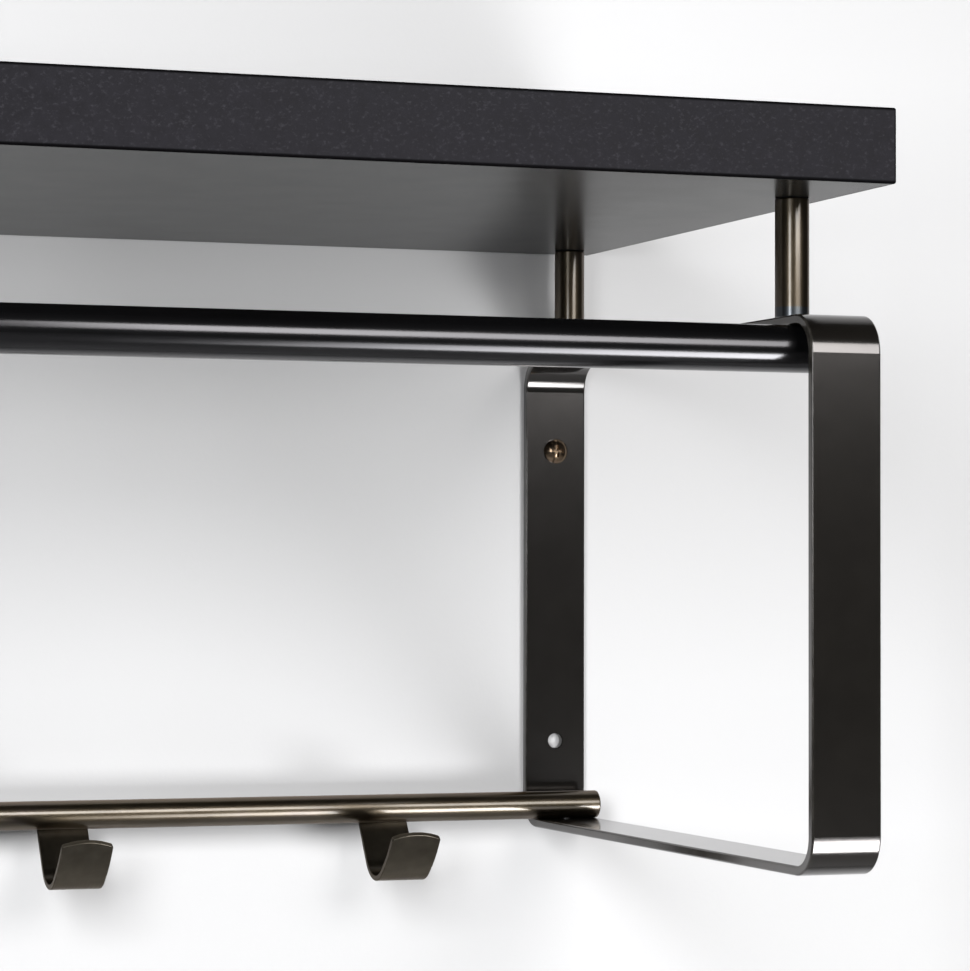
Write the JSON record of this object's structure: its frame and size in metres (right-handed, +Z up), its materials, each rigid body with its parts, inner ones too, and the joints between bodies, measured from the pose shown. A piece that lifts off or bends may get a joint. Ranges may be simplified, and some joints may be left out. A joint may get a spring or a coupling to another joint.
{
  "type": "wall coat rack with hat shelf",
  "caption": "Wall-mounted coat rack: a thick black hat shelf on round posts over rectangular flat-bar loop brackets, with a gloss hanger rail and a gunmetal rod of strip hooks.",
  "frame": {"origin": "on the wall plane, midway between the two lower wall holes", "axes": "+X to the right along the rack, +Y into the wall, +Z up; the rack stands out towards -Y"},
  "size_m": [0.82, 0.376, 0.3228],
  "materials": {
    "shelf_core": "raw particle board, hidden inside the shelf",
    "shelf_laminate": "satin black laminate with a very fine texture",
    "shelf_edge": "satin black edge band with fine horizontal grain",
    "bracket_lacquer": "semi-gloss black lacquer over steel bar",
    "rail_gloss": "gloss black lacquer",
    "gunmetal": "brushed gunmetal, warm and dark, clear lacquered",
    "hook_strip": "dark satin gunmetal",
    "bronzed_screw": "dark bronzed, polished",
    "black_screw": "black oxide",
    "plated_steel": "zinc plated"
  },
  "bodies": {
    "root": {"back_left_post": "gunmetal", "back_right_post": "gunmetal", "front_left_post": "gunmetal", "front_right_post": "gunmetal", "hanging_rail": "rail_gloss", "hook_1": "hook_strip", "hook_2": "hook_strip", "hook_3": "hook_strip", "hook_4": "hook_strip", "hook_5": "hook_strip", "hook_rod": "gunmetal", "left_bracket": "bracket_lacquer", "post_screws": "black_screw", "rail_plug_left": "rail_gloss", "rail_plug_right": "rail_gloss", "rail_screws": "black_screw", "right_bracket": "bracket_lacquer", "rod_screws": "black_screw", "shelf_back_band": "shelf_edge", "shelf_core": "shelf_core", "shelf_front_band": "shelf_edge", "shelf_inserts": "plated_steel", "shelf_left_band": "shelf_edge", "shelf_right_band": "shelf_edge", "shelf_studs": "plated_steel", "shelf_top_laminate": "shelf_laminate", "shelf_under_laminate": "shelf_laminate", "wall_screws": "bronzed_screw"}
  },
  "joints": []
}
